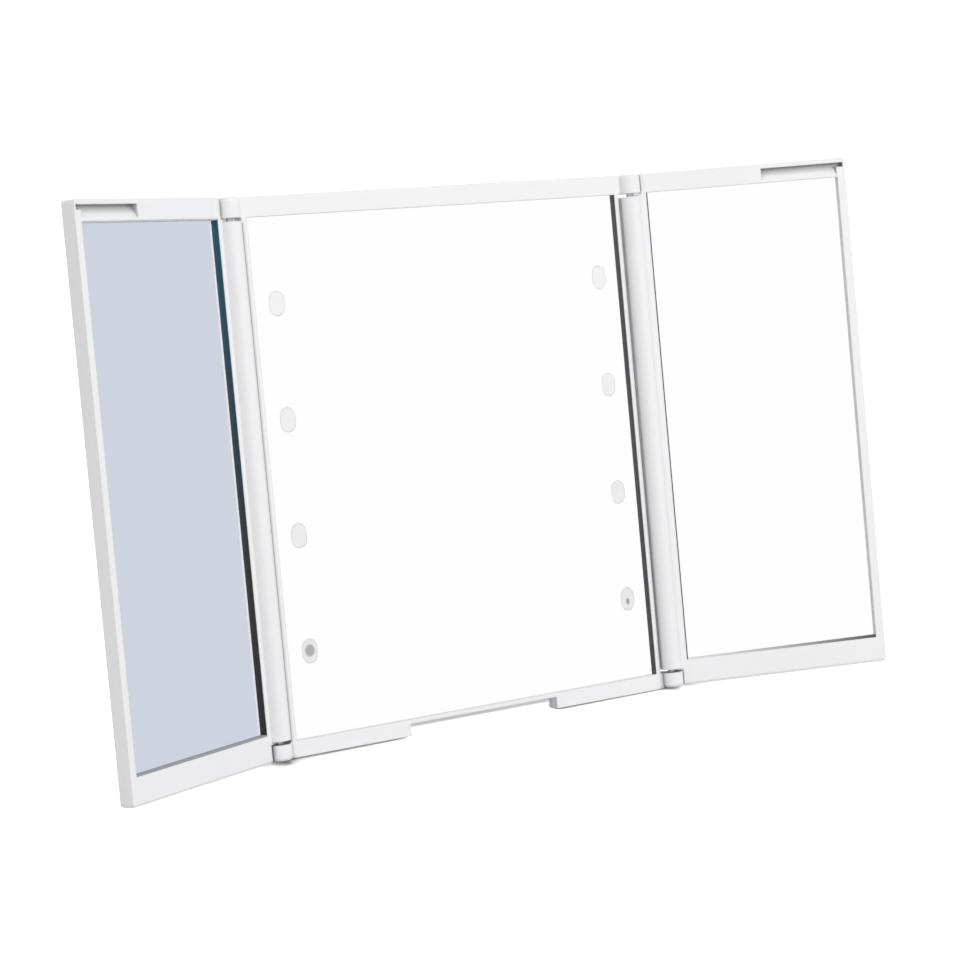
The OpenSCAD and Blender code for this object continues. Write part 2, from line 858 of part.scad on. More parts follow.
module stand_leg() {
    tongue_top = leg_low + foot_l;
    color("white")
        open_leg()
            difference() {
                union() {
                    plate(-leg_w/2, leg_w/2, tongue_top, pivot_z, leg_y - leg_t/2,
                        leg_y + leg_t/2, 0.2);
                    block([-leg_w/2, leg_y - leg_t/2, pivot_z - 2],
                          [leg_w/2, leg_y, pivot_z + heel]);
                    translate([-leg_w/2, leg_y, pivot_z])
                        rotate([0, 90, 0])
                            cylinder(h = leg_w, r = hub_r);
                    block([-leg_w/2 + foot_side + 1, leg_y - foot_slot/2, leg_low + 2.5],
                          [leg_w/2 - foot_side - 1, leg_y + foot_slot/2, tongue_top + 1]);
                }
                translate([-leg_w, leg_y, pivot_z])
                    rotate([0, 90, 0])
                        cylinder(h = 2*leg_w, r = leg_pin_r + pin_play);
                // Sunk fields between the ribs on both faces
                for (side = [-1, 1], row = [0, 1]) {
                    z0 = tongue_top + field_foot + row*(field_h + field_rib);
                    scale_side(side) {
                        plate(2, leg_w/2 - field_side, z0, z0 + field_h,
                            leg_y + leg_t/2 - field_deep, leg_y + leg_t/2 + over, 2);
                        plate(2, leg_w/2 - field_side, z0, z0 + field_h,
                            leg_y - leg_t/2 - over, leg_y - leg_t/2 + field_deep, 2);
                    }
                }
            }
}

// Rubber foot around the leg's tip
module leg_foot() {
    x = leg_w/2 - foot_side;
    color("dimgray")
        open_leg()
            difference() {
                union() {
                    translate([-x, leg_y, leg_low + foot_r])
                        rotate([0, 90, 0])
                            cylinder(h = 2*x, r = foot_r);
                    block([-x, leg_y - foot_r, leg_low + foot_r],
                          [x, leg_y + foot_r, leg_low + foot_l - seat_play]);
                }
                block([-x + 1 - seat_play, leg_y - foot_slot/2 - seat_play,
                       leg_low + 2.5 - seat_play],
                      [x - 1 + seat_play, leg_y + foot_slot/2 + seat_play,
                       leg_low + foot_l + over]);
            }
}

// ---- Hinge pins and magnets ----

// A pin in each ear of one side, reaching into the barrel's ends
module hinge_pins(side) {
    color("silver")
        stand_up()
            for (z = [pin_sink, panel_h - pin_sink - pin_len]) {
                translate([side*hinge_x, -axis_lift, z])
                    cylinder(h = pin_len, r = pin_r);
            }
}

module left_hinge_pins() {
    hinge_pins(-1);
}

module right_hinge_pins() {
    hinge_pins(1);
}

module centre_magnets() {
    color("silver")
        stand_up()
            at_magnets()
                disc(0, 0, magnet_y, magnet_y + magnet_t, magnet_d/2);
}

// ---- Wings, drawn from the hinge axis outwards ----

// Corner of the wing that the ear and its neck turn in
module ear_clearance(z0, z1) {
    block([-over, -barrel_r - over, z0], [barrel_r + rail_gap, wing_t + over, z1]);
}

module wing_frame() {
    lug_x = barrel_r + hinge_gap - clear;
    pane_x = barrel_r + hinge_lip;
    free_x = wing_reach - outer_lip;
    high = panel_h - top_rail;
    // The web behind a barrel runs on to the ears and closes the gap from behind
    web_low = ear_low + clear;
    web_high = panel_h - ear_top - clear;
    difference() {
        union() {
            difference() {
                plate(barrel_r + 0.1, wing_reach, 0, panel_h, 0, wing_t, corner_r);
                lower_bevel_cut();
            }
            block([0, 0, web_low], [barrel_r + corner_r + 1, wing_t, web_high]);
            block([-lug_x, wing_t - 1.8, barrel_low], [1, wing_t, barrel_high]);
            translate([0, -axis_lift, barrel_low])
                cylinder(h = barrel_high - barrel_low, r = barrel_r, $fn = 64);
        }
        ear_clearance(-over, web_low);
        ear_clearance(web_high, panel_h + over);
        barrel_bore(ear_low, pin_sink + pin_len + 0.5);
        barrel_bore(panel_h - pin_sink - pin_len - 0.5, panel_h - ear_top);
        // Opening of the lip, then the deeper seats of the pane and the back panel
        block([pane_x, -over, wing_bottom_rail], [free_x, wing_t + over, high]);
        block([pane_x - rebate, lip_depth, wing_bottom_rail - rebate],
              [free_x + rebate, wing_t + over, high + rebate]);
        block([pane_x - rebate - seat_play, tape_back, rim - seat_play],
              [wing_reach - rim + seat_play, wing_t + over, panel_h - rim + seat_play]);
        nail_recess();
        translate([hinge_x - magnet_x, 0, low_fixing_z])
            disc(0, 0, magnet_y, tape_back + over, magnet_d/2 + seat_play);
    }
}

module barrel_bore(low, high) {
    translate([0, -axis_lift, low])
        cylinder(h = high - low, r = pin_r + pin_play);
}

// Slanted cuts along the lower front edge and the lower rear edge
module lower_bevel_cut() {
    translate([0, -0.01, -0.01])
        rotate([90, 0, 90])
            linear_extrude(wing_reach + over)
                union() {
                    polygon([[-over, -over], [lower_bevel, -over], [lower_bevel, 0],
                        [0, lower_bevel], [-over, lower_bevel]]);
                    polygon([[wing_t - rear_bevel_w, -over], [wing_t - rear_bevel_w, 0],
                        [wing_t, rear_bevel_h], [wing_t + over, rear_bevel_h],
                        [wing_t + over, -over]]);
                }
}

// Recess for a fingernail in the top rail: its floor slopes out to the rail's face
// above the mirror, and a slot runs from its deep end to the free edge
module nail_recess() {
    end_x = wing_reach - outer_lip - 0.2;
    high = panel_h - nail_ledge;
    low = panel_h - top_rail + lip_overlap;
    translate([end_x - nail_l, 0, 0])
        rotate([90, 0, 90])
            linear_extrude(nail_l)
                polygon([[-over, low - over*(high - low)/nail_depth], [nail_depth, high],
                    [-over, high]]);
    block([end_x - over, -over, high - nail_slot_h],
          [end_x + nail_slot_l, nail_slot_depth, high]);
}

module wing_mirror() {
    pane_x = barrel_r + hinge_lip - lip_overlap;
    block([pane_x, lip_depth, wing_bottom_rail - lip_overlap],
          [wing_reach - outer_lip + lip_overlap, glass_back, panel_h - top_rail + lip_overlap]);
}

module wing_tape() {
    x0 = barrel_r + hinge_lip - lip_overlap + 0.2;
    x1 = wing_reach - outer_lip + lip_overlap - 0.2;
    z0 = wing_bottom_rail - lip_overlap + 0.2;
    z1 = panel_h - top_rail + lip_overlap - 0.2;
    difference() {
        block([x0, glass_back, z0], [x1, tape_back, z1]);
        block([x0 + tape_w, glass_back - over, z0 + tape_w],
              [x1 - tape_w, tape_back + over, z1 - tape_w]);
    }
}

module wing_back() {
    block([barrel_r + hinge_lip - rebate, tape_back, rim],
          [wing_reach - rim, tape_back + skin_t, panel_h - rim]);
}

module wing_magnet() {
    translate([hinge_x - magnet_x, 0, low_fixing_z])
        disc(0, 0, magnet_y, magnet_y + magnet_t, magnet_d/2);
}

module left_wing_frame() {
    color("white") at_hinge(-1) wing_frame();
}

module left_wing_mirror() {
    color("lightsteelblue") at_hinge(-1) wing_mirror();
}

module left_wing_tape() {
    color("dimgray") at_hinge(-1) wing_tape();
}

module left_wing_back() {
    color("white") at_hinge(-1) wing_back();
}

module left_wing_magnet() {
    color("silver") at_hinge(-1) wing_magnet();
}

module right_wing_frame() {
    color("white") at_hinge(1) wing_frame();
}

module right_wing_mirror() {
    color("lightsteelblue") at_hinge(1) wing_mirror();
}

module right_wing_tape() {
    color("dimgray") at_hinge(1) wing_tape();
}

module right_wing_back() {
    color("white") at_hinge(1) wing_back();
}

module right_wing_magnet() {
    color("silver") at_hinge(1) wing_magnet();
}

centre_frame();
centre_mirror();
centre_tape();
led_lenses();
leds();
led_strip_left();
led_strip_right();
main_board();
power_switch();
supply_wires();
left_led_wires();
right_led_wires();
back_housing();
housing_screws();
battery_contacts();
coin_cells();
battery_door();
power_button();
stand_pin();
stand_leg();
leg_foot();
centre_magnets();
left_hinge_pins();
right_hinge_pins();
left_wing_frame();
left_wing_mirror();
left_wing_tape();
left_wing_back();
left_wing_magnet();
right_wing_frame();
right_wing_mirror();
right_wing_tape();
right_wing_back();
right_wing_magnet();
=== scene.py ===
"""Looks of the trifold vanity mirror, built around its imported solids."""

import json
import math

import bpy
from mathutils import Matrix, Vector


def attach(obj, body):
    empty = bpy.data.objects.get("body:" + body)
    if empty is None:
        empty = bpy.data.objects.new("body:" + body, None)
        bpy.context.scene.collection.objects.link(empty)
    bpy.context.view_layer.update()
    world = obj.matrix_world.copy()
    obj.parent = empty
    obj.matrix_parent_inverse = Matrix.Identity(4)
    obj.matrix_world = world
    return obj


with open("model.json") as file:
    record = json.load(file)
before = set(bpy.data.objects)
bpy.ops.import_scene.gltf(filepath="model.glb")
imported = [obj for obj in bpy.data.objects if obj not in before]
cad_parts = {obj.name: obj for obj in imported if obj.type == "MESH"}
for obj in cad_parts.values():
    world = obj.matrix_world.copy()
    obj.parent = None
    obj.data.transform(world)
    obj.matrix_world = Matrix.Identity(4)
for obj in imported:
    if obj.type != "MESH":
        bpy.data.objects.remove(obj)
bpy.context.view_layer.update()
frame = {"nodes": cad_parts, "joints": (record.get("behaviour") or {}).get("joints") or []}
nodes = frame["nodes"]
MM = 0.001

# ---------------------------------------------------------------- Where things are
# The solids are drawn upright, in millimetres: x to the right, y to the rear from
# the lips' front plane, z up from the panel's lower edge. They then lean back.

RECLINE = math.radians(10)
LAND_Y = 3.5
HINGE_X = 84.6
AXIS_LIFT = 0.25
PANEL_H = 190.0
MIRROR_FACE = 1.4
FOLD = {"left": math.radians(26.5), "right": math.radians(22)}

hinge_joint = next(j for j in frame["joints"] if j["name"] == "left_fold")
other_joint = next(j for j in frame["joints"] if j["name"] == "right_fold")
middle = (Vector(hinge_joint["pos_m"]) + Vector(other_joint["pos_m"])) / 2
# The same point between the hinges, drawn upright
between = Vector((0, -AXIS_LIFT - LAND_Y, PANEL_H / 2)) * MM
stand_up = (
    Matrix.Translation(middle - Matrix.Rotation(-RECLINE, 3, "X") @ between)
    @ Matrix.Rotation(-RECLINE, 4, "X")
    @ Matrix.Translation((0, -LAND_Y * MM, 0))
)


def wing_place(side):
    """Takes a piece drawn from the hinge axis outwards to its place on a wing."""
    sign = -1 if side == "left" else 1
    return (
        stand_up
        @ Matrix.Translation((sign * HINGE_X * MM, -AXIS_LIFT * MM, 0))
        @ Matrix.Rotation(-sign * FOLD[side], 4, "Z")
        @ Matrix.Diagonal((sign, 1, 1, 1))
        @ Matrix.Translation((0, AXIS_LIFT * MM, 0))
    )


# ---------------------------------------------------------------- Material helpers


def tone(code):
    """Turns an sRGB hex colour into linear values."""
    parts = [int(code[i : i + 2], 16) / 255 for i in (0, 2, 4)]
    linear = [c / 12.92 if c <= 0.04045 else ((c + 0.055) / 1.055) ** 2.4 for c in parts]
    return (*linear, 1.0)


def add(tree, kind, links=None, **settings):
    """Adds one shader node. Each link is a value, or an output of another node."""
    made = tree.nodes.new(kind)
    for name, value in settings.items():
        setattr(made, name, value)
    for socket, value in (links or {}).items():
        if isinstance(value, bpy.types.NodeSocket):
            tree.links.new(value, made.inputs[socket])
        else:
            made.inputs[socket].default_value = value
    return made


def blank(name):
    """Makes an empty material and gives its node tree."""
    made = bpy.data.materials.new(name)
    made.use_nodes = True
    made.node_tree.nodes.clear()
    return made, made.node_tree


def seen_directly(tree, passed_on=0.0):
    """Gives 1 where the camera looks, or looks by way of a mirror or through glass, and 0
    for the light that reaches a dull surface. passed_on is for light that a mirror or
    glass passes on to a dull surface."""
    path = add(tree, "ShaderNodeLightPath")
    clear_way = add(tree, "ShaderNodeMath", {0: path.outputs["Is Glossy Ray"],
                    1: path.outputs["Is Transmission Ray"]}, operation="MAXIMUM")
    no_bounce = add(tree, "ShaderNodeMath", {0: path.outputs["Diffuse Depth"], 1: 0.5},
                    operation="LESS_THAN")
    share = add(tree, "ShaderNodeMapRange", {"Value": no_bounce.outputs[0],
                "To Min": passed_on, "To Max": 1.0})
    clear_way = add(tree, "ShaderNodeMath", {0: clear_way.outputs[0],
                    1: share.outputs["Result"]}, operation="MULTIPLY")
    return add(tree, "ShaderNodeMath", {0: path.outputs["Is Camera Ray"],
               1: clear_way.outputs[0]}, operation="MAXIMUM").outputs[0]


def dress(names, material):
    """Puts one material on each of the CAD nodes named."""
    for name in names:
        mesh = nodes[name].data
        mesh.materials.clear()
        mesh.materials.append(material)


# ---------------------------------------------------------------- Finishes


# Rounding that a mould leaves on every outer edge, in millimetres
EDGE = 0.6
# Where shade is painted into the white plastic's colour, in millimetres of the upright
# drawing. Beyond GROOVE_SIDE from the middle lie the grooves beside the barrels, up to
# EAR_FOOT. Above RECESS_FOOT lie the nail recesses. Each second value is where the painted
# shade is full.
GROOVE_SIDE = (78.1, 78.9)
EAR_FOOT = (181.0, 182.0)
RECESS_FOOT = (183.4, 183.9)
# How far a wall casts the painted shade, in millimetres, and how strongly
GROOVE_SHADE = (2.5, 1.3)
RECESS_SHADE = (3.0, 0.6)
# The panes turn by less than 27 degrees from the centre one, and their edges by more.
# This cosine lies between the two.
FACE_LIMIT = 0.6


def paint_shade_in_zone(tree, colour, zone, reach, depth):
    """Paints shade into a colour where little light gets in, inside a zone of 0 to 1. reach
    is how far away, in millimetres, a wall still shades, and depth how strongly."""
    near = add(tree, "ShaderNodeAmbientOcclusion", {"Distance": reach * MM}, samples=8)
    light = add(tree, "ShaderNodeMath", {0: near.outputs["AO"], 1: depth}, operation="POWER")
    kept = add(tree, "ShaderNodeMapRange", {"Value": zone, "To Min": 1.0,
               "To Max": light.outputs[0]})
    return add(tree, "ShaderNodeMix", {"Factor": kept.outputs["Result"], "A": (0, 0, 0, 1),
               "B": colour}, data_type="RGBA").outputs[2]


def upright_place(tree, place):
    """Gives x, y and z of the upright drawing, in metres."""
    upright = add(tree, "ShaderNodeMapping", {"Vector": place, "Location": stand_up.translation,
                  "Rotation": (-RECLINE, 0, 0)}, vector_type="TEXTURE")
    return add(tree, "ShaderNodeSeparateXYZ", {0: upright.outputs["Vector"]})


def moulded_abs(name, code, roughness, grain_mm, grain_depth, painted_shade=None):
    """Injection-moulded ABS: an even colour with a soft sheen and a very fine skin.
    grain_mm is the width of the skin's ripple, coarse enough to show. The last argument
    paints shade into the colour of the "grooves" beside the barrels, or of the nail "recess"."""
    made, tree = blank(name)
    place = add(tree, "ShaderNodeTexCoord").outputs["Object"]
    cloud = add(tree, "ShaderNodeTexNoise", {"Vector": place, "Scale": 1 / 0.06, "Detail": 2.0})
    tint = add(tree, "ShaderNodeValToRGB", {"Fac": cloud.outputs["Fac"]})
    base = tone(code)
    tint.color_ramp.elements[0].color = [c * 0.975 for c in base[:3]] + [1]
    tint.color_ramp.elements[1].color = base
    colour = tint.outputs["Color"]
    # Painted shade: the colour darkens where walls close in on it
    if painted_shade:
        parts = upright_place(tree, place)
        if painted_shade == "grooves":
            side = add(tree, "ShaderNodeMath", {0: parts.outputs["X"]}, operation="ABSOLUTE")
            zone = add(tree, "ShaderNodeMapRange", {"Value": side.outputs[0],
                       "From Min": GROOVE_SIDE[0] * MM, "From Max": GROOVE_SIDE[1] * MM})
            below_ear = add(tree, "ShaderNodeMapRange", {"Value": parts.outputs["Z"],
                            "From Min": EAR_FOOT[0] * MM, "From Max": EAR_FOOT[1] * MM,
                            "To Min": zone.outputs["Result"], "To Max": 0.0})
            colour = paint_shade_in_zone(tree, colour, below_ear.outputs["Result"], *GROOVE_SHADE)
        else:
            zone = add(tree, "ShaderNodeMapRange", {"Value": parts.outputs["Z"],
                       "From Min": RECESS_FOOT[0] * MM, "From Max": RECESS_FOOT[1] * MM})
            colour = paint_shade_in_zone(tree, colour, zone.outputs["Result"], *RECESS_SHADE)
    skin = add(tree, "ShaderNodeTexNoise", {"Vector": place, "Scale": 1000 / grain_mm, "Detail": 3.0})
    gloss = add(tree, "ShaderNodeMapRange", {"Value": skin.outputs["Fac"],
                "To Min": roughness - 0.04, "To Max": roughness + 0.05})
    eased = add(tree, "ShaderNodeBevel", {"Radius": EDGE * MM}, samples=6)
    bump = add(tree, "ShaderNodeBump", {"Height": skin.outputs["Fac"], "Strength": grain_depth,
               "Distance": 0.00005, "Normal": eased.outputs["Normal"]})
    plastic = add(tree, "ShaderNodeBsdfPrincipled", {"Base Color": colour,
                  "Roughness": gloss.outputs["Result"], "IOR": 1.54,
                  "Normal": bump.outputs["Normal"]})
    add(tree, "ShaderNodeOutputMaterial", {"Surface": plastic.outputs["BSDF"]})
    return made


def silvered_glass(name, code, ground_code, paint_code):
    """Float glass silvered behind: a clean mirror, with a trace of haze from wiping. Its
    cut edges, also around the lamp windows, are ground to a pale dull skin, and its
    rear face has the grey paint that keeps the silver."""
    made, tree = blank(name)
    coords = add(tree, "ShaderNodeTexCoord")
    place = coords.outputs["Object"]
    haze = add(tree, "ShaderNodeTexNoise", {"Vector": place, "Scale": 1 / 0.05, "Detail": 4.0})
    gloss = add(tree, "ShaderNodeMapRange", {"Value": haze.outputs["Fac"],
                "To Min": 0.004, "To Max": 0.016})
    silver = add(tree, "ShaderNodeBsdfPrincipled", {"Base Color": tone(code), "Metallic": 1.0,
                 "Roughness": gloss.outputs["Result"]})
    ground = add(tree, "ShaderNodeBsdfPrincipled", {"Base Color": tone(ground_code),
                 "Roughness": 0.6})
    facing = add(tree, "ShaderNodeVectorMath", {0: coords.outputs["Normal"],
                 1: stand_up.to_3x3() @ Vector((0, 1, 0))}, operation="DOT_PRODUCT")
    flat = add(tree, "ShaderNodeMath", {0: facing.outputs["Value"]}, operation="ABSOLUTE")
    is_face = add(tree, "ShaderNodeMath", {0: flat.outputs[0], 1: FACE_LIMIT},
                  operation="GREATER_THAN")
    both = add(tree, "ShaderNodeMixShader", {0: is_face.outputs[0],
               1: ground.outputs["BSDF"], 2: silver.outputs["BSDF"]})
    paint = add(tree, "ShaderNodeBsdfPrincipled", {"Base Color": tone(paint_code),
                "Roughness": 0.7})
    is_rear = add(tree, "ShaderNodeMath", {0: facing.outputs["Value"], 1: FACE_LIMIT},
                  operation="GREATER_THAN")
    whole = add(tree, "ShaderNodeMixShader", {0: is_rear.outputs[0], 1: both.outputs[0],
                2: paint.outputs["BSDF"]})
    add(tree, "ShaderNodeOutputMaterial", {"Surface": whole.outputs[0]})
    return made


def plain_metal(name, code, roughness, brush_mm):
    """Plated metal with a fine brushed or tumbled grain of the width given."""
    made, tree = blank(name)
    place = add(tree, "ShaderNodeTexCoord").outputs["Object"]
    stretch = add(tree, "ShaderNodeMapping", {"Vector": place, "Scale": (1, 8, 8)})
    grain = add(tree, "ShaderNodeTexNoise", {"Vector": stretch.outputs["Vector"],
                "Scale": 125 / brush_mm, "Detail": 3.0})
    gloss = add(tree, "ShaderNodeMapRange", {"Value": grain.outputs["Fac"],
                "To Min": roughness - 0.08, "To Max": roughness + 0.1})
    metal = add(tree, "ShaderNodeBsdfPrincipled", {"Base Color": tone(code), "Metallic": 1.0,
                "Roughness": gloss.outputs["Result"]})
    add(tree, "ShaderNodeOutputMaterial", {"Surface": metal.outputs["BSDF"]})
    return made


def dull_solid(name, code, second, roughness, speck_mm):
    """A matt solid with specks of a second colour: foam, rubber, resin or insulation."""
    made, tree = blank(name)
    place = add(tree, "ShaderNodeTexCoord").outputs["Object"]
    speck = add(tree, "ShaderNodeTexNoise", {"Vector": place, "Scale": 1000 / speck_mm, "Detail": 4.0})
    tint = add(tree, "ShaderNodeMix", {"Factor": speck.outputs["Fac"], "A": tone(code),
               "B": tone(second)}, data_type="RGBA")
    bump = add(tree, "ShaderNodeBump", {"Height": speck.outputs["Fac"], "Strength": 0.15,
               "Distance": 0.0001})
    solid = add(tree, "ShaderNodeBsdfPrincipled", {"Base Color": tint.outputs[2],
                "Roughness": roughness, "Normal": bump.outputs["Normal"]})
    add(tree, "ShaderNodeOutputMaterial", {"Surface": solid.outputs["BSDF"]})
    return made


def frosted_diffuser(name, high_code, low_code, spots):
    """Frosted polycarbonate over the diodes, a little greyer towards the table. In the
    lowest lamps the diode shows through as a soft grey spot. Each spot is its place in
    the upright drawing, its half width and half height in millimetres, and its colour."""
    made, tree = blank(name)
    place = add(tree, "ShaderNodeTexCoord").outputs["Object"]
    parts = add(tree, "ShaderNodeSeparateXYZ", {0: place})
    height = add(tree, "ShaderNodeMapRange", {"Value": parts.outputs["Z"],
                 "From Min": 35 * MM, "From Max": 150 * MM})
    colour = add(tree, "ShaderNodeMix", {"Factor": height.outputs["Result"],
                 "A": tone(low_code), "B": tone(high_code)}, data_type="RGBA").outputs[2]
    for x, z, half_w, half_h, code in spots:
        centre = stand_up @ (Vector((x, MIRROR_FACE, z)) * MM)
        round_it = add(tree, "ShaderNodeMapping", {"Vector": place, "Location": centre,
                       "Rotation": (-RECLINE, 0, 0), "Scale": (half_w * MM, 0.1, half_h * MM)},
                       vector_type="TEXTURE")
        away = add(tree, "ShaderNodeVectorMath", {0: round_it.outputs["Vector"]},
                   operation="LENGTH")
        inside = add(tree, "ShaderNodeMapRange", {"Value": away.outputs["Value"],
                     "From Min": 0.7, "From Max": 1.25, "To Min": 1.0, "To Max": 0.0},
                     interpolation_type="SMOOTHSTEP")
        colour = add(tree, "ShaderNodeMix", {"Factor": inside.outputs["Result"], "A": colour,
                     "B": tone(code)}, data_type="RGBA").outputs[2]
    frost = add(tree, "ShaderNodeTexNoise", {"Vector": place, "Scale": 1000 / 0.6, "Detail": 3.0})
    bump = add(tree, "ShaderNodeBump", {"Height": frost.outputs["Fac"], "Strength": 0.15,
               "Distance": 0.0001})
    lens_face = add(tree, "ShaderNodeBsdfPrincipled", {"Base Color": colour, "Roughness": 0.5,
                    "IOR": 1.58, "Normal": bump.outputs["Normal"]})
    add(tree, "ShaderNodeOutputMaterial", {"Surface": lens_face.outputs["BSDF"]})
    return made


white_abs = moulded_abs("white_moulded_abs", "F5F5F6", 0.34, 1.2, 0.10)
# The centre frame has painted shade in the grooves beside the barrels, the wings in their nail
# recesses
centre_abs_painted_shade = moulded_abs("white_moulded_abs_centre_painted_shade", "F5F5F6", 0.34, 1.2, 0.10, "grooves")
wing_abs_painted_shade = moulded_abs("white_moulded_abs_wings_painted_shade", "F5F5F6", 0.34, 1.2, 0.10, "recess")
button_abs = moulded_abs("grey_white_button_abs", "E4E6EA", 0.28, 1.0, 0.08)
leg_abs = moulded_abs("white_textured_leg_abs", "F0F1F3", 0.45, 0.8, 0.30)
mirror = silvered_glass("silvered_float_glass", "FEFEFF", "F6F8F8", "8A8D90")
foam = dull_solid("grey_foam_tape", "5A5B5E", "6A6B6E", 0.9, 0.8)
solder_mask = dull_solid("green_solder_mask", "0E5A33", "116B3C", 0.35, 2.0)
insulation = dull_solid("red_pvc_insulation", "B3160F", "C01C14", 0.45, 1.5)
rubber = dull_solid("pale_grey_rubber", "CFD0D3", "C4C5C8", 0.8, 0.6)
nylon = dull_solid("black_nylon", "1B1B1D", "232326", 0.5, 0.7)
phosphor = dull_solid("diode_phosphor", "E6D37A", "D8C160", 0.4, 0.5)
zinc = plain_metal("zinc_plated_steel", "BFC1C4", 0.32, 0.3)
nickel = plain_metal("nickel_plate", "D2CFC8", 0.18, 0.2)
spring_metal = plain_metal("phosphor_bronze", "C9A36A", 0.28, 0.3)
lens = frosted_diffuser("frosted_diffuser", "F4F4F3", "ECECEB",
                        [(-68.4, 35.2, 1.9, 2.1, "AEAFB2"), (68.4, 34.1, 0.7, 1.2, "9C9DA0")])

dress(["centre_frame"], centre_abs_painted_shade)
dress(["left_wing_frame", "right_wing_frame"], wing_abs_painted_shade)
dress(["back_housing", "left_wing_back", "right_wing_back", "battery_door"], white_abs)
dress(["stand_leg"], leg_abs)
dress(["power_button"], button_abs)
dress(["centre_mirror", "left_wing_mirror", "right_wing_mirror"], mirror)
dress(["centre_tape", "left_wing_tape", "right_wing_tape"], foam)
dress(["led_strip_left", "led_strip_right", "main_board"], solder_mask)
dress(["left_led_wires", "right_led_wires", "supply_wires"], insulation)
dress(["leg_foot"], rubber)
dress(["power_switch"], nylon)
dress(["leds"], phosphor)
dress(["housing_screws", "stand_pin", "left_hinge_pins", "right_hinge_pins"], zinc)
dress(["coin_cells", "centre_magnets", "left_wing_magnet", "right_wing_magnet"], nickel)
dress(["battery_contacts"], spring_metal)
dress(["led_lenses"], lens)


# ---------------------------------------------------------------- Painted gap shade at the panes' edges
# Thin dark bars stand between pane and frame where the photograph shows a dark or grey band,
# from the mirror's face up to just below the lip. They are painted shade: they stand for
# the shade in the gap between pane and frame. Widths and heights are in millimetres.

GAP_SHADE_TOP = 0.15
GAP_SHADE_EASE = 0.06
HINGE_GAP_SHADE_W = {"left": 0.3, "right": 0.5}
LEFT_BOTTOM_H = 0.6
LEFT_TOP_H = 0.4
RIGHT_BOTTOM_H = 0.4
RIGHT_BOTTOM_RISE = 0.5
CENTRE_GAP_SHADE_W = 0.2
panes = {
    # low x, low z, high x, high z of the opening that each pane shows through
    "centre": (-77.7, 5.7, 77.7, 183.0),
    "left": (6.4, 9.4, 81.0, 183.0),
    "right": (6.4, 9.4, 81.0, 183.0),
}


def gap_shade_bar(name, x0, z0, x1, z1, body, place, material, rise=0.0):
    """One straight bar of painted gap shade with an eased front edge. rise lifts the far end
    of its upper edge, in millimetres, where the bar widens along the pane."""
    bpy.ops.object.select_all(action="DESELECT")
    centre = Vector(((x0 + x1) / 2, (GAP_SHADE_TOP + MIRROR_FACE) / 2, (z0 + z1) / 2)) * MM
    size = Vector((x1 - x0, MIRROR_FACE - GAP_SHADE_TOP, z1 - z0)) * MM
    bpy.ops.mesh.primitive_cube_add(size=1, location=centre, scale=size)
    bar = bpy.context.object
    bar.name = name
    bpy.ops.object.transform_apply(location=True, rotation=False, scale=True)
    bpy.ops.object.mode_set(mode="EDIT")
    bpy.ops.mesh.select_all(action="DESELECT")
    bpy.ops.object.mode_set(mode="OBJECT")
    for vertex in bar.data.vertices:
        vertex.select = vertex.co.x > centre.x and vertex.co.z > centre.z
    bpy.ops.object.mode_set(mode="EDIT")
    if rise:
        bpy.ops.transform.translate(value=(0, 0, rise * MM))
    bpy.ops.mesh.select_all(action="SELECT")
    bpy.ops.mesh.subdivide(number_cuts=3)
    bpy.ops.object.mode_set(mode="OBJECT")
    ease = bar.modifiers.new("ease", "BEVEL")
    ease.width, ease.segments, ease.limit_method = GAP_SHADE_EASE * MM, 2, "ANGLE"
    bpy.ops.object.modifier_apply(modifier=ease.name)
    bar.data.transform(place)
    if place.determinant() < 0:
        bar.data.flip_normals()
    bar.data.materials.append(material)
    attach(bar, body)


def gap_shade_finish(name, first, last=None, start=0, end=0, axis="Z"):
    """Painted shade for a gap between pane and frame, with an uneven gloss. With a last colour,
    it shifts from first to last between two places along an axis, in millimetres."""
    made, tree = blank(name)
    place = add(tree, "ShaderNodeTexCoord").outputs["Object"]
    colour = tone(first)
    if last:
        parts = add(tree, "ShaderNodeSeparateXYZ", {0: place})
        along = add(tree, "ShaderNodeMapRange", {"Value": parts.outputs[axis],
                    "From Min": start * MM, "From Max": end * MM})
        colour = add(tree, "ShaderNodeMix", {"Factor": along.outputs["Result"],
                     "A": tone(first), "B": tone(last)}, data_type="RGBA").outputs[2]
    ripple = add(tree, "ShaderNodeTexNoise", {"Vector": place, "Scale": 400.0, "Detail": 3.0})
    gloss = add(tree, "ShaderNodeMapRange", {"Value": ripple.outputs["Fac"],
                "To Min": 0.35, "To Max": 0.6})
    shade_face = add(tree, "ShaderNodeBsdfPrincipled", {"Base Color": colour,
               "Roughness": gloss.outputs["Result"]})
    add(tree, "ShaderNodeOutputMaterial", {"Surface": shade_face.outputs["BSDF"]})
    return made


# Painted gap shade: near black turning teal upwards, grey, mid grey, pale grey, and pale turning dark
# outwards
teal_gap_shade = gap_shade_finish("teal_black_painted_gap_shade", "101316", "054F64", 60, 175)
grey_gap_shade = gap_shade_finish("grey_painted_gap_shade", "4A4C4F")
mid_gap_shade = gap_shade_finish("mid_grey_painted_gap_shade", "9A9DA2")
pale_gap_shade = gap_shade_finish("pale_grey_painted_gap_shade", "E6E9F2", "C8CBD2", 150, 180)
fading_gap_shade = gap_shade_finish("fading_painted_gap_shade", "F2F3F5", "2A2B2D", 85, 162, "X")

